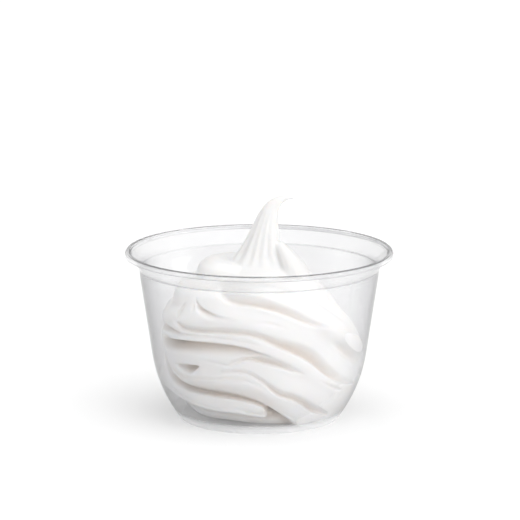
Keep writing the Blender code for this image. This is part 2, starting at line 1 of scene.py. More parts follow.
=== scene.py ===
"""Vanilla soft-serve ice cream in a clear plastic dessert cup, in plain studio light.

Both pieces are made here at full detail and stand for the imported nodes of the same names. Sizes are
millimetres until a mesh is made, and angles are degrees, 0 at the front and 90 on the right. The
camera, the lamp and the floor are in metres.
"""

import math
from collections import namedtuple

import bpy
import numpy as np
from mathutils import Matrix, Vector


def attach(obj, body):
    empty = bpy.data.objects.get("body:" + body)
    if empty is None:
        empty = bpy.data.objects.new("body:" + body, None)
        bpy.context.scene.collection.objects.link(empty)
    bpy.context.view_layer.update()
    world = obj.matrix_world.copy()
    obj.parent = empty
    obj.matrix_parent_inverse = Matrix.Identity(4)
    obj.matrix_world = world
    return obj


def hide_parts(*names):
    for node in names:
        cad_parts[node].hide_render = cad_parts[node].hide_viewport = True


MM = 0.001
TINY = 1e-6

# ---------------------------------------------------------------- the cup's sizes
CUP_HEIGHT = 62.0
RIM_RADIUS = 49.0
WALL = 0.36
CUP_SEGMENTS = 192
SHOULDER_Z = 55.4
SHOULDER_RADIUS = 43.8
TAPER_TOP_Z = 52.5
TAPER_TOP_RADIUS = 43.6
TAPER_ANGLE = 8.5
BOWL_RADIUS = 52.0
BOWL_TOP_Z = 24.0
LIP_WIDTH = 2.1
LIP_DROP = 1.8
LIP_CREASE_DROP = 0.6  # how far below the top the lip's inner crease lies
FLOOR_Z = 2.2
FLOOR_RADIUS = 27.5
FOOT_INNER = 27.8
FOOT_OUTER = 29.0
FOOT_ROUND = 0.35
SIDE_HEIGHTS = (0.95, 1.6, 2.6, 4, 5.5, 7, 9, 11, 13, 15.5, 18, 21, BOWL_TOP_Z)  # up the rounded side
LONGEST_STEP = 0.3  # between the profile's points, above the straight side
BEND_STEPS = 5
NEARLY_HALF = 0.49  # the share of the way to the next corner that a bend may take

# ---------------------------------------------------------------- the ice cream's sizes
INTO_WALL = 0.15  # how far it reaches into the plastic where it touches
VOXEL = 0.4
TRIANGLES = 188000
STRAND_STEPS = 260
STRAND_SIDES = 56
DRAPE_STEPS = 160
PEAK_STEPS = 180
PEAK_SIDES = 200
CORE_SIDES = 96
LOWEST_STRAND_Z = 4.5
LOWEST_WALL_Z = 1.5  # below this the side's radius isn't followed down
HEAP_RADIUS = 37.0
HEAP_SLOPE = 0.85
HEAP_SHOULDER = ((-270, 31.0), (-180, 38.5), (-90, 39.5), (0, 41.5), (90, 30.5))  # angle, height
HEAP_SOFTNESS = 1.5

# ---------------------------------------------------------------- the plastic's looks
PLASTIC_ROUGHNESS = 0.03
PLASTIC_IOR = 1.42
PLASTIC_SHADOW = (0.98, 0.98, 0.985, 1)  # the light that it lets through to its shadow
BEND_SHADE_GREY = (0.30, 0.30, 0.31, 1)  # painted shade: the grey lines of the tight bends, for the light bent away there
BEND_FAINTER = 0.6  # how much fainter the painted lines are at the angle where they are faintest
BEND_FAINT_AT = -145
BEND_FAINT_EDGE = 0.4  # the greater, the further round they are faint
BEND_CLOUD = 0.7  # how much light the tightest bends stop
FOOT_WHITE = (0.93, 0.93, 0.935, 1)
FOOT_CLOUD = 0.55
FOOT_HAZE_Z = 4.2  # below this the plastic is thicker and cloudier
FOOT_HAZE_FADE = 2.5
LIP_CLEARER = 0.6  # how much of its haze the thin neck and lip lack
LIP_CLEARER_OVER = 3.0  # the height over which that begins, from the shoulder up
BACK_SHADE = 0.38  # painted shade: the back of the cup is made at least as grey and hazy as if seen this slantwise
BACK_FROM = 0.3  # how far back that begins, as a share of the radius
HAZE_AND_EDGE_SHADE_TINT = (  # by how slantwise the sheet is seen, 0 to 1: partly haze, partly painted shade that darkens the edges
    (0.0, (0.93, 0.93, 0.935)),
    (0.26, (0.9, 0.9, 0.905)),
    (0.44, (0.82, 0.82, 0.83)),
    (0.6, (0.68, 0.68, 0.69)),
    (0.72, (0.50, 0.50, 0.51)),
    (0.82, (0.26, 0.26, 0.265)),
    (0.92, (0.04, 0.04, 0.04)),
)
CLEARNESS = (  # how much light passes, by the same measure
    (0.0, (0.98, 0.98, 0.98)),
    (0.37, (0.9, 0.9, 0.9)),
    (0.7, (0.64, 0.64, 0.64)),
    (1.0, (0.3, 0.3, 0.3)),
)

# ---------------------------------------------------------------- the ice cream's looks
CREAM_ROUGHNESS = 0.42
CREAM_IOR = 1.34
CREAM_GLOW = 0.5  # how much of its light comes back from under the surface
CREAM_GLOW_COLOURS = (1.0, 0.85, 0.7)
CREAM_GLOW_REACH = 2.2
GRAIN_SCALE = 900  # of the fine grain that its surface has
GRAIN_DETAIL = 4
GRAIN_STRENGTH = 0.12
GRAIN_HEIGHT = 0.3
TOP_SHADE_TINT = (0.725, 0.722, 0.718, 1)  # painted shade that darkens the top, which stands clear of the cup, most on its lit side
RAISED_FROM = 50.0  # the height where it starts, and how far it takes to be full
RAISED_OVER = 6.0
RAISED_ANGLE = 40  # the lit side, on which it is full
RAISED_LEAST = 0.1  # how much of it there is on the other side
RAISED_ACROSS = 14.0  # how far from the axis each of the two begins
HOLLOW_DEPTH = 6.0  # the depth at which a dip has its full painted shade, darker and warmer
HOLLOW_RADIUS = 20.0  # dips nearer the axis, or higher, have none
HOLLOW_RADIUS_FADE = 6.0
HOLLOW_TOP = 52.0
HOLLOW_TOP_FADE = 4.0
HOLLOW_SHADE_TINT = (  # painted shade, by how deep a dip is, as a share of that depth
    (0.0, (0.89, 0.883, 0.875)),
    (0.2, (0.87, 0.835, 0.80)),
    (0.45, (0.78, 0.71, 0.65)),
    (0.7, (0.74, 0.66, 0.58)),
    (1.0, (0.46, 0.39, 0.33)),
)

# ---------------------------------------------------------------- the light
WHITE = (1, 1, 1)
BLACK = (0, 0, 0)
BANDS = (  # the sky low down, half way up and high up, each by how far up a direction points
    ((0.15, WHITE), (0.45, BLACK)),
    ((0.15, BLACK), (0.45, WHITE), (0.6, WHITE), (0.85, BLACK)),
    ((0.6, BLACK), (0.85, WHITE)),
)
OVERHEAD = 1.64
SIDES = (  # the angle each comes from, and its strength low down and half way up
    (0, 0.5, 1.35),
    (60, 2.0, 1.3),
    (105, 0.9, 0.0),
    (-60, 0.0, 0.7),
    (-120, 0.8, 0.0),
)
BACKDROP = 1.1  # the white behind the scene, where it is seen directly
FLOOR_WHITE = 0.68
FLOOR_GLOW = 0.3  # keeps the shadow light
FLOOR_ROUGHNESS = 0.9
FLOOR_REACH = 6
SUN = 0.36
SUN_SPREAD = 34
SUN_HEIGHT = 32
SUN_SIDE = 40

# ---------------------------------------------------------------- the camera
CAMERA_SENSOR = 36
CAMERA_LENS = 246.9
CAMERA_CLIP = 0.01
CAMERA_AIM = (0.00029, 0, 0.05811)
CAMERA_AWAY = 1.3019
CAMERA_LIFT = 11.76


def ease(t):
    t = np.clip(t, 0.0, 1.0)
    return t * t * (3 - 2 * t)


def ramp(x, softness):
    """x above zero and nothing below it, with a rounded start."""
    return softness * np.log1p(np.exp(np.clip(x / softness, -30, 30)))


def spline(stations, steps):
    """A smooth curve through the stations, each column a quantity (a natural cubic)."""
    points = np.array(stations, float)
    count = len(points)
    matrix = np.zeros((count, count))
    right = np.zeros_like(points)
    matrix[0, 0] = matrix[-1, -1] = 1
    for i in range(1, count - 1):
        matrix[i, i - 1 : i + 2] = (1, 4, 1)
        right[i] = 6 * (points[i - 1] - 2 * points[i] + points[i + 1])
    bend = np.linalg.solve(matrix, right)
    place = np.linspace(0, count - 1, steps)
    i = np.minimum(place.astype(int), count - 2)
    after = (place - i)[:, None]
    before = 1 - after
    return (
        (bend[i] * before**3 + bend[i + 1] * after**3) / 6
        + (points[i] - bend[i] / 6) * before
        + (points[i + 1] - bend[i + 1] / 6) * after
    )


def around(angle, radius, z):
    """Points at an angle about the axis, which is 0 at the front and 90 on the right."""
    turn = np.radians(angle)
    return np.stack([radius * np.sin(turn), -radius * np.cos(turn), z + 0 * turn], -1)


def unit(vectors):
    return vectors / np.linalg.norm(vectors, axis=1)[:, None]


# ---------------------------------------------------------------- the cup


def side_radius(z):
    """The outer radius of the side at a height: a straight taper over a wide arc."""
    lean = math.radians(TAPER_ANGLE)
    z = np.asarray(z, float)
    join = TAPER_TOP_RADIUS - (TAPER_TOP_Z - BOWL_TOP_Z) * math.tan(lean)
    centre = join - BOWL_RADIUS * math.cos(lean)
    centre_z = BOWL_TOP_Z + BOWL_RADIUS * math.sin(lean)
    bowl = centre + np.sqrt(np.maximum(BOWL_RADIUS**2 - (centre_z - z) ** 2, 0))
    taper = TAPER_TOP_RADIUS - (TAPER_TOP_Z - z) * math.tan(lean)
    return np.where(z >= BOWL_TOP_Z, taper, bowl)


def inner_radius(z):
    return side_radius(z) - WALL


def rounded(corners):
    """A line through corners (r, z, radius of the bend), with each bend drawn as a short curve."""
    line = []
    for i, (r, z, bend) in enumerate(corners):
        here = np.array((r, z), float)
        if bend == 0 or i in (0, len(corners) - 1):
            line.append((r, z))
            continue
        back = np.array(corners[i - 1][:2], float) - here
        ahead = np.array(corners[i + 1][:2], float) - here
        far_back = np.linalg.norm(back)
        far_ahead = np.linalg.norm(ahead)
        back /= far_back
        ahead /= far_ahead
        half = math.acos(np.clip(back @ ahead, -1, 1)) / 2
        longest = NEARLY_HALF * min(far_back, far_ahead)
        reach = min(bend / math.tan(half), longest)
        start = here + back * reach
        end = here + ahead * reach
        for t in np.linspace(0, 1, BEND_STEPS):
            point = (1 - t) ** 2 * start + 2 * t * (1 - t) * here + t * t * end
            line.append(tuple(point))
    return line


def lip_over():
    """The lip's upper side, from the inside of the neck out to its lower edge."""
    neck = RIM_RADIUS - LIP_WIDTH
    edge_z = CUP_HEIGHT - LIP_DROP
    return [
        (neck - WALL, edge_z + 0.2, 0.2),
        (neck - WALL + 0.2, CUP_HEIGHT - LIP_CREASE_DROP, 0.05),
        (neck + 0.55, CUP_HEIGHT, 0.2),
        (RIM_RADIUS - 0.6, CUP_HEIGHT - 0.05, 0.4),
        (RIM_RADIUS, CUP_HEIGHT - 0.75, 0.4),
        (RIM_RADIUS - 0.02, edge_z, 0.05),
    ]


def lip_under():
    """Its underside, from the lower edge back in to the outside of the neck."""
    neck = RIM_RADIUS - LIP_WIDTH
    edge_z = CUP_HEIGHT - LIP_DROP
    return [
        (RIM_RADIUS - 0.02 - WALL, edge_z, 0.05),
        (RIM_RADIUS - WALL, CUP_HEIGHT - 0.9, 0.3),
        (RIM_RADIUS - 0.75, CUP_HEIGHT - 0.05 - WALL, 0.2),
        (neck + 0.65, CUP_HEIGHT - WALL, 0.1),
        (neck + 0.25, CUP_HEIGHT - LIP_CREASE_DROP - 0.2, 0.05),
        (neck, edge_z + 0.2, 0.2),
    ]


def cup_profile():
    """One line round the plastic: the floor, up the inside, over the lip and down the outside."""
    groove = FOOT_OUTER - WALL
    floor = [
        (0, FLOOR_Z, 0),
        (FLOOR_RADIUS, FLOOR_Z, 0.4),
        (FLOOR_RADIUS + 0.7, WALL + 0.2, 0.3),
        (groove, WALL, 0.2),
    ]
    inside = [(float(inner_radius(z)), z, 0) for z in SIDE_HEIGHTS[1:]]
    inside += [
        (TAPER_TOP_RADIUS - WALL, TAPER_TOP_Z, 2.0),
        (SHOULDER_RADIUS - WALL, SHOULDER_Z, 0.25),
    ]
    outside = [
        (SHOULDER_RADIUS, SHOULDER_Z, 0.25),
        (TAPER_TOP_RADIUS, TAPER_TOP_Z, 2.0),
    ]
    outside += [(float(side_radius(z)), z, 0) for z in reversed(SIDE_HEIGHTS)]
    foot = [
        (float(side_radius(FOOT_ROUND)) - 0.04, FOOT_ROUND, 0.2),
        (FOOT_OUTER, 0, 0.2),
        (FOOT_INNER, 0, 0.1),
        (FOOT_INNER - 0.2, 0.2, 0),
        (FOOT_INNER - 0.2, FLOOR_Z - WALL - 0.3, 0),
        (FOOT_INNER - 0.6, FLOOR_Z - WALL, 0.2),
        (0, FLOOR_Z - WALL, 0),
    ]
    return rounded(floor + inside + lip_over() + lip_under() + outside + foot)


def divided(line):
    """The same line with no step above the straight side longer than LONGEST_STEP."""
    fine = [line[0]]
    for (r, z), (next_r, next_z) in zip(line, line[1:]):
        length = math.hypot(next_r - r, next_z - z)
        above = min(z, next_z) > TAPER_TOP_Z - 0.1
        steps = max(1, math.ceil(length / LONGEST_STEP)) if above else 1
        for i in range(1, steps + 1):
            fine.append((r + (next_r - r) * i / steps, z + (next_z - z) * i / steps))
    return fine


def bends():
    """The tight bends of the plastic, which get painted grey lines for the light bent away there:
    radius, height, half width and strength.
    """
    neck = RIM_RADIUS - LIP_WIDTH
    return (
        (SHOULDER_RADIUS, SHOULDER_Z, 0.26, 0.6),
        (neck, CUP_HEIGHT - LIP_CREASE_DROP, 0.3, 0.35),
        (RIM_RADIUS, CUP_HEIGHT - LIP_DROP, 0.26, 0.8),
        (FOOT_INNER - 0.2, FLOOR_Z - WALL, 0.4, 0.2),
    )


def mark_cup(mesh):
    """Marks where the plastic is cloudy and where it is clear, the back, which gets painted shade, and
    the tight bends, which get painted grey lines, for clear_plastic.
    """
    angle, z, radius = cylinder(get_points(mesh))
    mark(mesh, "foot", ease((FOOT_HAZE_Z - z) / FOOT_HAZE_FADE))
    # painted shade over the back of the cup
    mark(mesh, "back", ease((-np.cos(np.radians(angle)) - BACK_FROM) / (1 - BACK_FROM)))
    mark(mesh, "lip", ease((z - SHOULDER_Z) / LIP_CLEARER_OVER))
    # painted shade: grey lines at the tight bends, fainter towards the back left
    bend = np.zeros(len(z))
    for bend_radius, bend_z, width, strength in bends():
        away = np.hypot(radius - bend_radius, z - bend_z) / width
        bend = np.maximum(bend, strength * np.exp(-(away**2)))
    faint = np.cos(np.radians(angle - BEND_FAINT_AT)) + BEND_FAINT_EDGE
    bend *= 1 - BEND_FAINTER * ease(faint / (1 + BEND_FAINT_EDGE))
    mark(mesh, "bend", bend)


def build_cup(finish):
    points = []
    faces = []
    rows = []
    for r, z in divided(cup_profile()):
        if r == 0:
            rows.append([len(points)])
            points.append((0, 0, z * MM))
            continue
        rows.append(list(range(len(points), len(points) + CUP_SEGMENTS)))
        for j in range(CUP_SEGMENTS):
            turn = 2 * math.pi * j / CUP_SEGMENTS
            points.append((r * math.sin(turn) * MM, -r * math.cos(turn) * MM, z * MM))
    for low, high in zip(rows, rows[1:]):
        for j in range(CUP_SEGMENTS):
            k = (j + 1) % CUP_SEGMENTS
            if len(low) == 1:
                faces.append((low[0], high[j], high[k]))
            elif len(high) == 1:
                faces.append((low[j], high[0], low[k]))
            else:
                faces.append((low[j], high[j], high[k], low[k]))
    mesh = bpy.data.meshes.new("clear_cup")
    mesh.from_pydata(points, [], faces)
    mesh.shade_smooth()
    mark_cup(mesh)
    return add_object("clear_cup", mesh, finish)


# ---------------------------------------------------------------- the ice cream


def heap_radius(angle, z):
    """The radius inside which the heap narrows to its top. It is higher on the left than the right."""
    shoulder = np.interp(angle, *np.array(HEAP_SHOULDER).T)
    return HEAP_RADIUS - HEAP_SLOPE * ramp(z - shoulder, HEAP_SOFTNESS)


def loft(rings):
    """A closed surface over rings of points, with a point in the middle of each end."""
    count, sides, _ = rings.shape
    points = np.concatenate([rings.reshape(-1, 3), rings[:1].mean(1), rings[-1:].mean(1)])
    first = count * sides
    last = first + 1
    faces = []
    for j in range(sides):
        k = (j + 1) % sides
        for i in range(0, first - sides, sides):
            faces.append((i + j, i + k, i + sides + k, i + sides + j))
        faces.append((first, k, j))
        faces.append((last, first - sides + j, first - sides + k))
    return points, faces


def strand_rings(centre, outward, high, deep, lean, sides, seed):
    """Egg-shaped sections along a path. The lean pushes the lower half of each out, over the next."""
    along = unit(np.gradient(centre, axis=0))
    out = unit(outward - (outward * along).sum(1)[:, None] * along)
    up = np.cross(out, along)
    turn = np.linspace(0, 2 * np.pi, sides, endpoint=False)[None]
    place = np.linspace(0, 1, len(centre))[:, None]
    drift = waves(place, seed, DRIFT_WAVES)
    ripple = 1 + 0.012 * np.cos(9 * turn + drift + seed) + 0.010 * np.cos(14 * turn - 1.4 * drift)
    across = (np.cos(turn) - lean * np.sin(turn)) * deep[:, None] * ripple
    rise = np.sin(turn) * high[:, None] * ripple
    return centre[:, None] + across[..., None] * out[:, None] + rise[..., None] * up[:, None]


def rounded_ends(steps, head, tail):
    """A size factor that rounds off the first and last share of a strand."""
    place = np.linspace(0, 1, steps)
    start = np.clip(1 - place / head, 0, 1) ** END_POWER
    end = np.clip(1 - (1 - place) / tail, 0, 1) ** END_POWER
    return np.sqrt(np.maximum(1 - start, END_LEAST) * np.maximum(1 - end, END_LEAST))


# A strand of the coil. It starts behind, comes round the left and falls to the right in front.
# level: its height in front; fall_from, fall: the angle where it starts to fall, and mm a degree;
# sag: how much lower it lies on the left; climb: how much higher behind than on the left;
# high, deep: half its section; lean: see strand_rings; spread: how much it widens to the right;
# clear: how far it stays from the cup at the right rear, rear, left, front and right.
Strand = namedtuple("Strand", "level fall_from fall sag climb high deep lean spread clear start end")
STATIONS = (-280, -180, -90, -5, 45)  # the angles of clear's five values
COIL = (
    Strand(46.8, 16, 0.30, 0.5, 6.0, 5.4, 6.0, 0.15, 0.00, (6.0, 4.0, 6.5, 4.4, 8.0), -222, 8),
    Strand(43.2, 8, 0.40, 5.0, 12.0, 4.9, 6.0, 0.35, 0.30, (3.0, 2.0, 5.0, 2.8, 0.0), -226, 100),
    Strand(35.4, 6, 0.41, 4.8, 13.6, 3.5, 4.8, 0.60, 0.10, (1.5, 1.8, 4.6, 2.0, 0.0), -230, 98),
    Strand(28.2, 2, 0.40, 3.6, 13.2, 4.2, 4.6, 0.30, 0.00, (1.0, 1.6, 5.6, 3.3, 0.0), -232, 92),
    Strand(23.4, 4, 0.42, 3.0, 12.6, 3.6, 4.2, 0.30, 0.00, (1.5, 2.2, 7.0, 3.6, 0.2), -226, 84),
    Strand(20.2, -1, 0.46, 0.4, 9.4, 3.3, 4.8, 0.60, 0.00, (0.0, 1.2, 3.8, 2.0, 0.2), -234, 50),
    Strand(11.8, -6, 0.24, -4.0, 8.6, 2.9, 4.8, 0.45, 0.00, (0.0, 1.4, 0.3, 1.8, 2.5), -238, 9),
    Strand(6.2, 10, 0.10, -1.0, 1.0, 3.4, 5.0, 0.10, 0.00, (2.5, 3.0, 7.0, 6.5, 4.0), -300, 60),
    Strand(18.0, -176, 0.22, 0.0, 0.0, 3.8, 4.8, 0.50, 0.00, (0.0, 1.0, 3.0, 5.0, 5.0), -236, -104),
    Strand(11.4, -184, 0.20, 0.0, 0.0, 3.6, 4.8, 0.35, 0.00, (0.0, 1.6, 4.0, 5.0, 5.0), -234, -126),
)

# Strands of the last turn. Each station is an angle, a radius, a height, and the half sizes.
Drape = namedtuple("Drape", "lean stations")
CROWN = Drape(
    0.1,
    (
        (-245, 19, 45.0, 5.0, 6),
        (-215, 18, 48.5, 6.5, 7),
        (-170, 17, 50.5, 6.5, 7),
        (-120, 15.5, 52.2, 6.8, 8),
        (-72, 13.5, 52.5, 6.8, 8.5),
        (-35, 9, 52.0, 5.0, 6),
        (-5, 6, 51.0, 3.0, 4),
    ),
)
FRONT_DRAPE = Drape(
    0.45,
    (
        (-60, 9, 51.0, 3.4, 3.6),
        (-30, 18.5, 50.8, 4.6, 5.0),
        (-2, 26.6, 51.0, 5.2, 6.0),
        (20, 29.6, 47.8, 5.6, 6.0),
        (37, 31.6, 42.6, 5.8, 6.2),
        (52, 33.4, 36.4, 5.6, 6.4),
        (66, 33.4, 30.4, 5.0, 6.2),
        (80, 31.0, 25.4, 3.4, 5.0),
    ),
)
HUMP = Drape(
    0.0,
    (
        (72, 7.0, 65.0, 1.6, 1.6),
        (66, 9.8, 61.8, 3.6, 2.8),
        (62, 13.0, 57.8, 5.2, 3.8),
        (62, 15.6, 53.2, 5.8, 4.4),
        (62, 19.0, 47.5, 6.6, 5.0),
        (62, 23.5, 40.5, 7.6, 5.6),
        (62, 26.5, 33.0, 6.6, 5.0),
    ),
)
SIDE_DRAPE = (  # angle from the drape's middle, radius, height and half sizes
    (-46, 5.0, 57.5, 3.6, 3.0),
    (-20, 9.5, 53.5, 5.0, 4.2),
    (-8, 15.0, 48.0, 7.2, 5.2),
    (0, 22.5, 40.5, 9.4, 6.0),
    (10, 29.5, 31.5, 9.8, 6.4),
    (22, 31.0, 22.5, 8.6, 6.0),
    (34, 29.5, 13.0, 5.0, 4.6),
)
SIDE_DRAPES = ((66, 0.0, 0.0), (96, -2.5, 0.0), (124, -1.0, 1.0), (154, -1.0, 4.0))  # angle, up, out
SIDE_LEAN = 0.3

PEAK = (  # x, y, z and half width, up the middle of the peak to its curled tip
    (1.0, 0, 48.0, 18.0),
    (1.0, 0, 53.5, 15.0),
    (1.0, 0, 57.5, 11.8),
    (1.1, 0, 61.0, 8.9),
    (1.5, 0, 64.5, 7.1),
    (2.1, 0, 68.5, 5.6),
    (3.0, 0, 73.0, 4.3),
    (4.6, 0, 77.3, 3.0),
    (7.0, 0, 80.0, 1.8),
    (10.0, 0, 81.2, 0.9),
    (13.3, 0, 81.1, 0.3),
)
PEAK_GROOVES = (  # the angle of each, 0 at the front and 90 on the right, its depth and half width
    (-160, 0.10, 9),
    (-128, 0.13, 11),
    (-92, 0.10, 9),
    (-58, 0.12, 10),
    (-31, 0.10, 7),
    (-9, 0.12, 7),
    (14, 0.16, 8),
    (39, 0.11, 8),
    (64, 0.14, 10),
    (96, 0.10, 9),
    (127, 0.13, 11),
    (163, 0.11, 9),
)
PEAK_TWIST = 8  # degrees the grooves turn, foot to tip
GROOVES_FROM = 56  # the height where they start, and how far they take to reach their depth
GROOVES_OVER = 5
GROOVE_POWER = 1.5  # the greater, the steeper their sides
PEAK_UNEVEN = 0.03

CORE = (  # radius and height
    (14, 3.0),
    (22, 3.4),
    (25, 6),
    (26, 12),
    (27, 20),
    (27.5, 30),
    (27, 38),
    (25, 46),
    (20.5, 52),
    (14, 56.5),
    (6, 59.5),
)

# How the coil's strands run. A pair is the angle where something starts and how many degrees it takes.
FALL_SOFTNESS = 8.0
SAG = (-18, 76)
CLIMB = (-95, 85)
SETTLE = (-190, 90)
SETTLE_SHARE = 0.4  # of the climb, lost again on the way round to the right
SPREAD = (-40, 55)
COIL_ENDS = (0.035, 0.05)  # the shares of a strand's length over which its ends are rounded
DRAPE_ENDS = (0.05, 0.12)
END_POWER = 2.4
END_LEAST = 0.002
TUCK = 9.0  # how deep the start of a strand lies under the side drapes
TUCK_SHARE = 0.14
TAIL_TUCK = 4.0
TAIL_TUCK_SHARE = 0.07
DRAPE_TILT = 0.45  # how far a drape's sections lean back

# Unevenness, as waves of a size, a rate and a shift that differs from strand to strand.
RISE_WAVES = ((0.45, 2.3, 1.7), (0.25, 5.1, 2.9))
SIZE_WAVES = ((0.07, 3.1, 4.1), (0.03, 7.3, 1.0))
CLEAR_WAVES = ((0.5, 2.9, 3.3),)
DRIFT_WAVES = ((1.3, 5, 1.0), (0.7, 11, 2.3))
DRAPE_WAVES = ((0.05, 9, 2.2),)

# Folds in the front of the heap, each a line where one turn laps over the next. The stations are the
# angle, the height, the depth, and how far it takes to come back out above the line and below it. On a
# line drawn downward, above is its right side.
FOLDS = (
    # under the top turn, from its curled left rim down to the right
    (
        (-60, 39.4, 0.5, 1.2, 0.5),
        (-54, 37.9, 1.4, 1.9, 0.5),
        (-46, 37.2, 1.8, 2.2, 0.5),
        (-30, 37.8, 1.8, 2.4, 0.5),
        (-10, 38.3, 1.8, 2.4, 0.5),
        (2, 36.6, 2.2, 2.8, 0.5),
        (11, 33.8, 2.8, 3.8, 0.5),
        (20, 31.2, 3.2, 4.8, 0.5),
        (30, 27.4, 3.2, 4.4, 0.5),
        (40, 22.0, 2.8, 3.6, 0.5),
        (54, 17.6, 1.8, 2.4, 0.5),
        (68, 15.4, 0.4, 1.2, 0.5),
    ),
    (
        (-92, 36.8, 5.0, 0.5, 3.6),
        (-76, 36.6, 4.4, 0.5, 3.0),
        (-62, 36.1, 2.4, 0.5, 1.8),
        (-51, 35.5, 1.2, 0.5, 1.0),
        (-37, 36.2, 0.7, 0.6, 0.7),
        (-20, 36.3, 0.6, 0.6, 0.6),
        (-10, 36.0, 0.5, 0.6, 0.6),
        (-2, 34.9, 0.2, 0.6, 0.6),
    ),
    # the deep slot under the second turn
    (
        (-92, 32.0, 7.5, 0.5, 4.4),
        (-76, 32.0, 7.5, 0.5, 4.8),
        (-61, 32.3, 6.0, 0.5, 5.0),
        (-47, 33.2, 4.6, 0.5, 5.0),
        (-30, 34.0, 3.6, 0.5, 5.0),
        (-15, 33.9, 3.0, 0.5, 4.6),
        (-5, 32.7, 2.4, 0.5, 3.8),
        (5, 30.6, 0.8, 0.6, 2.5),
    ),
    (
        (-17, 27.0, 0.3, 1.2, 0.5),
        (-6, 29.1, 2.0, 2.4, 0.5),
        (2, 28.1, 2.6, 3.4, 0.5),
        (9, 26.9, 2.4, 3.2, 0.5),
        (16, 25.5, 1.8, 2.4, 0.5),
        (24, 23.6, 0.3, 1.0, 0.5),
    ),
    # a small pit at the left
    (
        (-57, 23.7, 0.8, 0.4, 0.6),
        (-52, 24.0, 3.4, 0.4, 1.6),
        (-45, 24.5, 5.0, 0.4, 3.2),
        (-40, 24.8, 4.0, 0.4, 1.8),
        (-37, 25.0, 0.5, 0.4, 0.6),
    ),
    # between the third and fourth turns
    (
        (-20, 23.9, 0.3, 1.5, 0.6),
        (-11, 24.2, 0.9, 2.0, 0.6),
        (-5, 23.2, 1.1, 2.0, 0.6),
        (1, 21.0, 1.4, 2.0, 0.5),
        (6, 18.4, 2.0, 2.2, 0.5),
        (12, 15.6, 2.4, 2.6, 0.5),
        (18, 14.3, 2.6, 2.8, 0.5),
        (26, 11.9, 2.6, 2.6, 0.5),
        (33, 9.0, 2.8, 2.6, 0.5),
        (48, 5.4, 2.0, 2.2, 0.5),
    ),
    # the lit edge along the top of the fourth turn, and its long slope down to the fold under it
    (
        (-66, 22.4, 0.5, 1.0, 0.5),
        (-58, 20.4, 0.8, 1.6, 0.5),
        (-49, 19.4, 0.8, 1.6, 0.5),
        (-36, 20.2, 0.6, 1.6, 0.5),
        (-20, 21.4, 0.5, 1.6, 0.5),
        (-8, 21.2, 0.4, 1.4, 0.5),
        (2, 18.6, 0.2, 1.0, 0.5),
    ),
    (
        (-60, 17.2, 1.0, 5.0, 0.5),
        (-34, 14.8, 1.6, 6.5, 0.5),
        (-12, 13.8, 1.8, 6.5, 0.5),
        (2, 11.4, 1.6, 5.5, 0.5),
        (14, 7.0, 0.8, 4.0, 0.5),
    ),
    # over the lowest turn
    (
        (-94, 27.0, 2.0, 2.6, 0.8),
        (-80, 23.0, 3.2, 3.0, 0.6),
        (-71, 20.4, 3.8, 2.8, 0.5),
        (-63, 17.7, 4.2, 2.8, 0.5),
        (-54, 15.8, 4.4, 2.8, 0.5),
        (-44, 15.0, 4.6, 3.0, 0.5),
        (-24, 14.4, 4.6, 3.2, 0.5),
        (-12, 13.8, 4.2, 2.8, 0.5),
        (-4, 12.8, 3.8, 2.4, 0.5),
        (2, 11.4, 3.6, 2.2, 0.5),
        (4.5, 9.4, 3.4, 2.2, 0.5),
    ),
    # the notch in the top turn and the hollow behind its rim
    (
        (-47, 48.8, 0.2, 0.4, 0.6),
        (-43, 46.6, 2.0, 0.4, 1.4),
        (-38, 45.4, 2.4, 0.4, 2.2),
        (-31, 44.5, 1.6, 0.4, 2.4),
        (-23, 43.7, 0.6, 0.5, 1.6),
        (-14, 43.2, 0.1, 0.6, 1.0),
    ),
    (
        (-55, 46.4, 0.1, 2.0, 0.8),
        (-58, 44.2, 1.0, 2.8, 0.8),
        (-59, 42.0, 1.3, 2.8, 0.8),
        (-58, 40.0, 0.4, 2.0, 0.8),
    ),
    ((-48, 47.6, 0.1, 0.8, 0.6), (-47, 45.6, 0.7, 1.4, 0.6), (-46, 43.6, 0.1, 0.8, 0.6)),
    # under the turn at the very top
    (
        (-31, 51.0, 1.4, 2.4, 0.5),
        (-18, 48.5, 1.8, 3.2, 0.5),
        (-3, 48.1, 2.2, 4.4, 0.5),
        (13, 45.8, 2.2, 3.8, 0.5),
        (24, 42.7, 1.7, 3.0, 0.5),
        (32, 40.9, 0.8, 1.8, 0.5),
        (38, 40.0, 0.1, 1.0, 0.5),
    ),
    # the lump at the right
    (
        (40, 39.6, 0.1, 1.5, 0.6),
        (50, 37.8, 0.9, 2.4, 0.6),
        (62, 35.0, 1.2, 2.4, 0.6),
        (84, 31.0, 0.3, 1.5, 0.6),
    ),
    (
        (43, 33.8, 0.1, 1.5, 1.5),
        (52, 30.0, 1.6, 1.8, 2.6),
        (65, 25.4, 1.8, 1.8, 2.6),
        (84, 20.6, 0.4, 1.5, 1.5),
    ),
    # fine creases
    ((-2, 42.4, 0.1, 0.8, 0.5), (5, 42.2, 0.5, 1.2, 0.5), (13, 41.0, 0.1, 0.8, 0.5)),
    ((36, 19.8, 0.1, 1.0, 0.5), (47, 16.0, 0.7, 1.4, 0.5), (62, 13.2, 0.2, 1.0, 0.5)),
    ((-34, 27.2, 0.1, 0.8, 0.6), (-24, 27.0, 0.4, 1.2, 0.6), (-12, 25.8, 0.1, 0.8, 0.6)),
)
FOLD_STEPS = 160
FOLD_FROM = -96  # the angles between which the front is folded, and how far it takes to fade
FOLD_TO = 84
FOLD_FADE = 14
FOLD_TOP = 54.5  # the height above which it isn't folded
FOLD_TOP_FADE = 2.5
FOLD_FOOT_FADE = 1.2
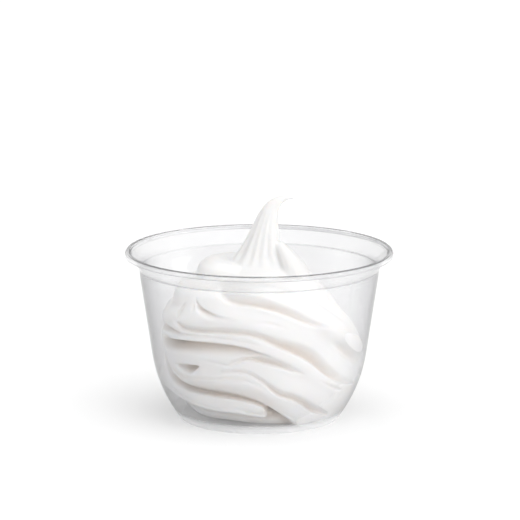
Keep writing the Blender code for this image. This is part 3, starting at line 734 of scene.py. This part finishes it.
FOLD_FOOT = (  # the angle, and the height below which the front is left as it is
    (-96, 17.0),
    (-70, 13.6),
    (-57, 11.4),
    (-44, 10.2),
    (-28, 9.7),
    (-15, 9.6),
    (-8, 8.2),
    (2, 7.2),
    (5, 10.6),
    (9, 9.4),
    (13, 8.2),
    (18, 6.6),
    (25, 4.4),
    (33, 3.0),
    (96, 3.0),
)
GRID_TURN = 240  # cells round the heap and up it, by which the form the folds are cut from is found
GRID_UP = 84
GRID_TOP = 63.0
GRID_REACH = (5, 6)  # how many cells wide a dip is filled, round and up
GRID_SMOOTHINGS = 2
GRID_SMOOTH_REACH = 2
UNROLLED = 34.0  # the radius at which distances along the surface are measured
BATCH = 20000  # points whose nearest place on a fold is looked for at a time


def waves(x, seed, terms):
    return sum(size * np.sin(rate * x + seed * shift) for size, rate, shift in terms)


def coil_strand(strand, seed):
    angle = np.linspace(strand.start, strand.end, STRAND_STEPS)
    turn = np.radians(angle)
    z = (
        strand.level
        - strand.fall * ramp(angle - strand.fall_from, FALL_SOFTNESS)
        - strand.sag * ease((SAG[0] - angle) / SAG[1])
        + strand.climb * ease((CLIMB[0] - angle) / CLIMB[1])
        - SETTLE_SHARE * strand.climb * ease((SETTLE[0] - angle) / SETTLE[1])
        + waves(turn, seed, RISE_WAVES)
    )
    size = rounded_ends(STRAND_STEPS, *COIL_ENDS)
    uneven = 1 + waves(turn, seed, SIZE_WAVES)
    uneven = uneven * (1 + strand.spread * ease((angle - SPREAD[0]) / SPREAD[1]))
    place = np.linspace(0, 1, STRAND_STEPS)
    tucked = TUCK * np.clip(1 - place / TUCK_SHARE, 0, 1) ** 2
    tucked += TAIL_TUCK * np.clip(1 - (1 - place) / TAIL_TUCK_SHARE, 0, 1) ** 2
    clear = np.interp(angle, STATIONS, strand.clear) + waves(turn, seed, CLEAR_WAVES) + tucked
    wall = inner_radius(np.maximum(z, LOWEST_WALL_Z))
    reach = np.minimum(wall - clear, heap_radius(angle, z))
    radius = reach - strand.deep * math.sqrt(1 + strand.lean**2) * size
    centre = around(angle, radius, np.maximum(z, LOWEST_STRAND_Z))
    high = strand.high * size * uneven
    deep = strand.deep * size * (0.5 + 0.5 * uneven)
    return strand_rings(centre, around(angle, 1.0, 0.0), high, deep, strand.lean, STRAND_SIDES, seed)


def drape_strand(drape, seed):
    angle, radius, z, high, deep = spline(drape.stations, DRAPE_STEPS).T
    size = rounded_ends(DRAPE_STEPS, *DRAPE_ENDS)
    size = size * (1 + waves(np.linspace(0, 1, DRAPE_STEPS), seed, DRAPE_WAVES))
    centre = around(angle, radius, z)
    outward = around(angle, 1.0, DRAPE_TILT)
    return strand_rings(centre, outward, high * size, deep * size, drape.lean, STRAND_SIDES, seed)


def side_drape(middle, up, out):
    stations = [(middle + a, r + out, z + up, high, deep) for a, r, z, high, deep in SIDE_DRAPE]
    return Drape(SIDE_LEAN, stations)


def peak_rings():
    """The pulled peak: a ridged column that thins and curls over to the right."""
    path = spline(PEAK, PEAK_STEPS)
    centre = path[:, :3]
    along = unit(np.gradient(centre, axis=0))
    side = unit(np.cross(along, (0.0, 1.0, 0.0)))
    other = np.cross(side, along)
    turn = np.linspace(0, 2 * np.pi, PEAK_SIDES, endpoint=False)[None]
    bearing = 270 - np.degrees(turn) + PEAK_TWIST * np.linspace(-0.5, 0.5, PEAK_STEPS)[:, None]
    shape = 1 + PEAK_UNEVEN * np.cos(3 * turn + 1.0)
    fade = ease((path[:, 2:3] - GROOVES_FROM) / GROOVES_OVER)
    for groove, depth, width in PEAK_GROOVES:
        away = (bearing - groove + 180) % 360 - 180
        shape = shape - fade * depth * np.exp(-np.abs(away / width) ** GROOVE_POWER)
    radius = path[:, 3:] * shape
    out = (radius * np.cos(turn))[..., None] * side[:, None]
    return centre[:, None] + out + (radius * np.sin(turn))[..., None] * other[:, None]


def core_rings():
    """The mass behind the strands."""
    angle = np.linspace(0, 360, CORE_SIDES, endpoint=False)
    return np.stack([around(angle, radius, z) for radius, z in CORE])


def evaluated_mesh(made):
    depsgraph = bpy.context.evaluated_depsgraph_get()
    return bpy.data.meshes.new_from_object(made.evaluated_get(depsgraph))


def keep_in_cup(points):
    """Moves what passes the cup's inner side back into the wall, which flattens it as the wall does."""
    points[:, 2] = np.maximum(points[:, 2], FLOOR_Z - INTO_WALL)
    radius = np.hypot(points[:, 0], points[:, 1])
    limit = inner_radius(np.minimum(points[:, 2], TAPER_TOP_Z)) + INTO_WALL
    points[:, :2] *= np.minimum(1, limit / np.maximum(radius, TINY))[:, None]
    return points


def get_points(mesh):
    points = np.zeros(len(mesh.vertices) * 3)
    mesh.vertices.foreach_get("co", points)
    return points.reshape(-1, 3) / MM


def mark(mesh, name, values):
    """Stores a value from 0 to 1 at each point, which a material reads by its name."""
    mesh.attributes.new(name, "FLOAT", "POINT").data.foreach_set("value", values)


def set_points(mesh, points):
    mesh.vertices.foreach_set("co", (points * MM).reshape(-1))
    mesh.update()


def cylinder(points):
    """The angle in degrees, height and radius of each point."""
    return (
        np.degrees(np.arctan2(points[:, 0], -points[:, 1])),
        points[:, 2],
        np.hypot(points[:, 0], points[:, 1]),
    )


def spread_rows(grid, reach, pick):
    """The greatest, least or mean of each cell and its neighbours up and down."""
    padded = np.pad(grid, ((0, 0), (reach, reach)), mode="edge")
    return pick([padded[:, i : i + grid.shape[1]] for i in range(2 * reach + 1)], axis=0)


def spread_turns(grid, reach, pick):
    """The same round the heap, which has no edge."""
    return pick([np.roll(grid, i, axis=0) for i in range(-reach, reach + 1)], axis=0)


def whole_form(points):
    """The radius of the heap over angle and height with its dips filled, as a grid."""
    angle, z, radius = cylinder(points)
    grid = np.zeros((GRID_TURN, GRID_UP))
    turn = (np.floor((angle + 180) / 360 * GRID_TURN)).astype(int) % GRID_TURN
    up = np.clip((z / GRID_TOP * GRID_UP).astype(int), 0, GRID_UP - 1)
    np.maximum.at(grid, (turn, up), radius)
    for pick in (np.max, np.min):
        grid = spread_rows(grid, GRID_REACH[1], pick)
        grid = spread_turns(grid, GRID_REACH[0], pick)
    for _ in range(GRID_SMOOTHINGS):
        grid = spread_rows(grid, GRID_SMOOTH_REACH, np.mean)
        grid = spread_turns(grid, GRID_SMOOTH_REACH, np.mean)
    return grid


def read_grid(grid, angle, z):
    turn = (angle + 180) / 360 * GRID_TURN - 0.5
    up = np.clip(z / GRID_TOP * GRID_UP - 0.5, 0, GRID_UP - 1.001)
    i = np.floor(turn).astype(int)
    j = up.astype(int)
    after = turn - i
    above = up - j
    low = grid[i % GRID_TURN, j] * (1 - after) + grid[(i + 1) % GRID_TURN, j] * after
    high = grid[i % GRID_TURN, j + 1] * (1 - after) + grid[(i + 1) % GRID_TURN, j + 1] * after
    return low * (1 - above) + high * above


def fold_depth(fold, angle, z):
    """How deep a fold lies at each angle and height."""
    path = spline(fold, FOLD_STEPS)
    scale = math.radians(1) * UNROLLED
    line = np.stack([path[:, 0] * scale, path[:, 1]], -1)
    along = unit(np.gradient(line, axis=0))
    widest = path[:, 3:].max()
    place = np.stack([angle * scale, z], -1)
    low = line.min(0) - widest
    high = line.max(0) + widest
    near = np.flatnonzero(((place > low) & (place < high)).all(1))
    depth = np.zeros(len(angle))
    for part in np.array_split(near, max(1, len(near) // BATCH)):
        apart = place[part, None] - line[None]
        closest = (apart**2).sum(2).argmin(1)
        away = apart[np.arange(len(part)), closest]
        course = along[closest]
        aside = course[:, 0] * away[:, 1] - course[:, 1] * away[:, 0]
        past = (course * away).sum(1)
        deep, above, below = path[closest, 2:].T
        share = 1 - np.abs(aside) / np.where(aside > 0, above, below)
        depth[part] = deep * ease(share) * np.exp(-(past**2))
    return depth


def fold_front(points):
    """Gives the front of the heap its folds, cut into its whole form."""
    angle, z, radius = cylinder(points)
    grid = whole_form(points)
    foot = np.interp(angle, *np.array(FOLD_FOOT).T)
    share = (
        ease((angle - FOLD_FROM) / FOLD_FADE)
        * ease((FOLD_TO - angle) / FOLD_FADE)
        * ease((z - foot) / FOLD_FOOT_FADE)
        * ease((FOLD_TOP - z) / FOLD_TOP_FADE)
    )
    depth = np.zeros(len(points))
    for fold in FOLDS:
        depth = np.maximum(depth, fold_depth(fold, angle, z))
    wanted = radius + share * (read_grid(grid, angle, z) - depth - radius)
    points[:, :2] *= (wanted / np.maximum(radius, TINY))[:, None]
    return points


def fuse(made):
    """Makes one closed surface of all the surfaces, by cubes of a set size."""
    cubes = made.modifiers.new("fuse", "REMESH")
    cubes.mode = "VOXEL"
    cubes.voxel_size = VOXEL * MM
    fused = evaluated_mesh(made)
    made.modifiers.clear()
    made.data = fused


def thin_out(made):
    """Leaves about as many triangles as TRIANGLES says."""
    triangles = sum(len(face.vertices) - 2 for face in made.data.polygons)
    thin = made.modifiers.new("thin", "DECIMATE")
    thin.ratio = min(1, TRIANGLES / triangles)
    thinned = evaluated_mesh(made)
    made.modifiers.clear()
    made.data = thinned


def all_strands():
    """The rings of each strand, of the peak and of the core."""
    shapes = [core_rings(), peak_rings()]
    for seed, strand in enumerate(COIL, 1):
        shapes.append(coil_strand(strand, seed))
    drapes = [CROWN, FRONT_DRAPE, HUMP] + [side_drape(*place) for place in SIDE_DRAPES]
    for seed, drape in enumerate(drapes, len(COIL) + 1):
        shapes.append(drape_strand(drape, seed))
    return shapes


def mark_ice_cream(mesh, whole):
    """Marks the exposed top and how deep each dip lies below the whole form, where vanilla paints
    shade.
    """
    angle, z, radius = cylinder(get_points(mesh))
    # painted shade over the top, most on its lit side
    across = radius * np.cos(np.radians(angle - RAISED_ANGLE))
    top_shade = ease((z - RAISED_FROM) / RAISED_OVER)
    top_shade *= RAISED_LEAST + (1 - RAISED_LEAST) * ease(0.5 + 0.5 * across / RAISED_ACROSS)
    mark(mesh, "top_shade", top_shade)
    # painted shade in the dips, by how deep they lie
    outside = np.minimum(read_grid(whole, angle, z), inner_radius(z))
    hollow = np.clip((outside - radius) / HOLLOW_DEPTH, 0, 1)
    hollow *= ease((radius - HOLLOW_RADIUS) / HOLLOW_RADIUS_FADE)
    hollow *= ease((HOLLOW_TOP - z) / HOLLOW_TOP_FADE)
    mark(mesh, "hollow", hollow)


def build_ice_cream(finish):
    points = []
    faces = []
    for rings in all_strands():
        new_points, new_faces = loft(rings)
        faces += [tuple(index + len(points) for index in face) for face in new_faces]
        points += [tuple(point * MM) for point in new_points]
    mesh = bpy.data.meshes.new("soft_serve")
    mesh.from_pydata(points, [], faces)
    made = add_object("soft_serve", mesh, finish)
    fuse(made)
    whole = whole_form(get_points(made.data))
    set_points(made.data, fold_front(get_points(made.data)))
    fuse(made)
    set_points(made.data, keep_in_cup(get_points(made.data)))
    thin_out(made)
    made.data.shade_smooth()
    mark_ice_cream(made.data, whole)
    return made


# ---------------------------------------------------------------- materials and helpers


def add_object(name, mesh, finish):
    made = bpy.data.objects.new(name, mesh)
    made.data.materials.append(finish)
    bpy.context.scene.collection.objects.link(made)
    return made


def new_material(name):
    made = bpy.data.materials.new(name)
    made.use_nodes = True
    return made, made.node_tree.nodes, made.node_tree.links, made.node_tree.nodes["Principled BSDF"]


def add(nodes, kind, **values):
    node = nodes.new(kind)
    for key, value in values.items():
        setattr(node, key, value)
    return node


def vanilla():
    made, nodes, links, shader = new_material("soft_serve_vanilla")
    # painted shade in the dips, darker and warmer the deeper they are
    hollow = add(nodes, "ShaderNodeAttribute", attribute_name="hollow")
    tint = graded(nodes, links, hollow.outputs["Fac"], HOLLOW_SHADE_TINT)
    # painted shade over the top
    top_shade = add(nodes, "ShaderNodeAttribute", attribute_name="top_shade")
    tint = mixed_with(nodes, links, tint, TOP_SHADE_TINT, top_shade.outputs["Fac"])
    links.new(tint, shader.inputs["Base Color"])
    shader.inputs["Roughness"].default_value = CREAM_ROUGHNESS
    shader.inputs["IOR"].default_value = CREAM_IOR
    shader.inputs["Subsurface Weight"].default_value = CREAM_GLOW
    shader.inputs["Subsurface Radius"].default_value = CREAM_GLOW_COLOURS
    shader.inputs["Subsurface Scale"].default_value = CREAM_GLOW_REACH * MM
    place = add(nodes, "ShaderNodeTexCoord")
    fine = add(nodes, "ShaderNodeTexNoise")
    fine.inputs["Scale"].default_value = GRAIN_SCALE
    fine.inputs["Detail"].default_value = GRAIN_DETAIL
    links.new(place.outputs["Object"], fine.inputs["Vector"])
    bump = add(nodes, "ShaderNodeBump")
    bump.inputs["Strength"].default_value = GRAIN_STRENGTH
    bump.inputs["Distance"].default_value = GRAIN_HEIGHT * MM
    links.new(fine.outputs["Fac"], bump.inputs["Height"])
    links.new(bump.outputs["Normal"], shader.inputs["Normal"])
    return made


def maths(nodes, links, operation, first, second):
    """One sum. Each side is a socket or a number."""
    node = add(nodes, "ShaderNodeMath", operation=operation)
    for socket, value in zip(node.inputs, (first, second)):
        if isinstance(value, (int, float)):
            socket.default_value = value
        else:
            links.new(value, socket)
    return node.outputs["Value"]


def graded(nodes, links, source, stops):
    """A colour ramp over a value, with stops of (value, colour)."""
    ramp_node = add(nodes, "ShaderNodeValToRGB")
    while len(ramp_node.color_ramp.elements) < len(stops):
        ramp_node.color_ramp.elements.new(0.5)
    for element, (place, colour) in zip(ramp_node.color_ramp.elements, stops):
        element.position = place
        element.color = (*colour, 1)
    links.new(source, ramp_node.inputs["Fac"])
    return ramp_node.outputs["Color"]


def mixed_with(nodes, links, tint, colour, share):
    """The tint, with a share of a second colour in it."""
    mixed = add(nodes, "ShaderNodeMix", data_type="RGBA")
    links.new(share, mixed.inputs["Factor"])
    links.new(tint, mixed.inputs["A"])
    mixed.inputs["B"].default_value = colour
    return mixed.outputs["Result"]


def clear_plastic():
    """Clear where it is seen straight on, and grey where it is seen along the sheet: partly haze,
    partly painted shade on its edges. The back gets painted shade too, and the tight bends painted grey
    lines.
    """
    made, nodes, links, shader = new_material("clear_pet")
    shader.inputs["Roughness"].default_value = PLASTIC_ROUGHNESS
    shader.inputs["IOR"].default_value = PLASTIC_IOR
    slant = add(nodes, "ShaderNodeLayerWeight")
    slant.inputs["Blend"].default_value = 0.5
    back = add(nodes, "ShaderNodeAttribute", attribute_name="back").outputs["Fac"]
    bend = add(nodes, "ShaderNodeAttribute", attribute_name="bend").outputs["Fac"]
    foot = add(nodes, "ShaderNodeAttribute", attribute_name="foot").outputs["Fac"]
    lip = add(nodes, "ShaderNodeAttribute", attribute_name="lip").outputs["Fac"]
    kept = maths(nodes, links, "MULTIPLY", lip, -LIP_CLEARER)
    kept = maths(nodes, links, "ADD", kept, 1.0)
    slanted = maths(nodes, links, "MULTIPLY", slant.outputs["Facing"], kept)
    # painted shade over the back of the cup, as if seen slantwise
    slanted = maths(nodes, links, "MAXIMUM", slanted, maths(nodes, links, "MULTIPLY", back, BACK_SHADE))
    # partly haze, partly painted shade on the edges
    tint = graded(nodes, links, slanted, HAZE_AND_EDGE_SHADE_TINT)
    # the foot's cloudy white, and painted grey lines at the tight bends
    for share, colour in ((foot, FOOT_WHITE), (bend, BEND_SHADE_GREY)):
        tint = mixed_with(nodes, links, tint, colour, share)
    links.new(tint, shader.inputs["Base Color"])
    clear = graded(nodes, links, slanted, CLEARNESS)
    for cloud, share in ((foot, FOOT_CLOUD), (bend, BEND_CLOUD)):
        left = maths(nodes, links, "MULTIPLY", cloud, -share)
        left = maths(nodes, links, "ADD", left, 1.0)
        clear = maths(nodes, links, "MULTIPLY", clear, left)
    links.new(clear, shader.inputs["Transmission Weight"])
    output = nodes["Material Output"]
    light_path = add(nodes, "ShaderNodeLightPath")
    through = add(nodes, "ShaderNodeBsdfTransparent")
    through.inputs["Color"].default_value = PLASTIC_SHADOW
    mix = add(nodes, "ShaderNodeMixShader")
    links.new(light_path.outputs["Is Shadow Ray"], mix.inputs["Fac"])
    links.new(shader.outputs["BSDF"], mix.inputs[1])
    links.new(through.outputs["BSDF"], mix.inputs[2])
    links.new(mix.outputs["Shader"], output.inputs["Surface"])
    return made


def white_floor():
    made, _, _, shader = new_material("studio_white")
    shader.inputs["Base Color"].default_value = (FLOOR_WHITE, FLOOR_WHITE, FLOOR_WHITE, 1)
    shader.inputs["Emission Color"].default_value = (*WHITE, 1)
    shader.inputs["Emission Strength"].default_value = FLOOR_GLOW
    shader.inputs["Roughness"].default_value = FLOOR_ROUGHNESS
    return made


def set_camera():
    data = bpy.data.cameras.new("camera")
    data.sensor_width = CAMERA_SENSOR
    data.lens = CAMERA_LENS
    data.clip_start = CAMERA_CLIP
    made = bpy.data.objects.new("camera", data)
    aim = Vector(CAMERA_AIM)
    lift = math.radians(CAMERA_LIFT)
    made.location = aim + CAMERA_AWAY * Vector((0, -math.cos(lift), math.sin(lift)))
    made.rotation_euler = (aim - made.location).to_track_quat("-Z", "Y").to_euler()
    bpy.context.scene.collection.objects.link(made)
    bpy.context.scene.camera = made


def world_light():
    """Soft light from above, and weaker light from some sides, each spread wide about its angle."""
    world = bpy.data.worlds.new("studio")
    world.use_nodes = True
    bpy.context.scene.world = world
    nodes = world.node_tree.nodes
    links = world.node_tree.links
    place = add(nodes, "ShaderNodeTexCoord")
    split = add(nodes, "ShaderNodeSeparateXYZ")
    links.new(place.outputs["Generated"], split.inputs["Vector"])
    low, middle, high = (graded(nodes, links, split.outputs["Z"], band) for band in BANDS)
    light = maths(nodes, links, "MULTIPLY", high, OVERHEAD)
    for angle, from_low, from_middle in SIDES:
        turn = math.radians(angle)
        along_x = maths(nodes, links, "MULTIPLY", split.outputs["X"], math.sin(turn))
        along_y = maths(nodes, links, "MULTIPLY", split.outputs["Y"], -math.cos(turn))
        towards = maths(nodes, links, "ADD", along_x, along_y)
        towards = maths(nodes, links, "MAXIMUM", towards, 0.0)
        towards = maths(nodes, links, "MULTIPLY", towards, towards)
        for band, strength in ((low, from_low), (middle, from_middle)):
            share = maths(nodes, links, "MULTIPLY", band, strength)
            share = maths(nodes, links, "MULTIPLY", share, towards)
            light = maths(nodes, links, "ADD", light, share)
    seen = add(nodes, "ShaderNodeLightPath").outputs["Is Camera Ray"]
    light = maths(nodes, links, "MAXIMUM", light, maths(nodes, links, "MULTIPLY", seen, BACKDROP))
    nodes["Background"].inputs["Color"].default_value = (*WHITE, 1)
    links.new(light, nodes["Background"].inputs["Strength"])


def add_sun():
    """A weak broad light from the front right, which gives the folds their form."""
    key = bpy.data.lights.new("key", "SUN")
    key.energy = SUN
    key.angle = math.radians(SUN_SPREAD)
    made = bpy.data.objects.new("key", key)
    made.location = (0, 0, 1)
    made.rotation_euler = (math.radians(90 - SUN_HEIGHT), 0, math.radians(SUN_SIDE))
    made.visible_glossy = False
    bpy.context.scene.collection.objects.link(made)


def add_floor():
    mesh = bpy.data.meshes.new("studio_floor")
    corners = ((-1, -1), (1, -1), (1, 1), (-1, 1))
    points = [(x * FLOOR_REACH, y * FLOOR_REACH, 0) for x, y in corners]
    mesh.from_pydata(points, [], [(0, 1, 2, 3)])
    return add_object("studio_floor", mesh, white_floor())


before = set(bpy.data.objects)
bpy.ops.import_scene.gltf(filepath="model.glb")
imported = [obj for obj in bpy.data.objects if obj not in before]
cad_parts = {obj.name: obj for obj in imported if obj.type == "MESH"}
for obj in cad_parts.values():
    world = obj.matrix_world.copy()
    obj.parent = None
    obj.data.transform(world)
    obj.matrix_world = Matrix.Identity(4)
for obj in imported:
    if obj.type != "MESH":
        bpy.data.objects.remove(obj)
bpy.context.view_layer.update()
bpy.context.scene.view_settings.view_transform = "Standard"
set_camera()
world_light()
add_sun()
add_floor()

cup = build_cup(clear_plastic())
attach(cup, "root")
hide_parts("cup")

ice_cream = build_ice_cream(vanilla())
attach(ice_cream, "root")
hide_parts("ice_cream")
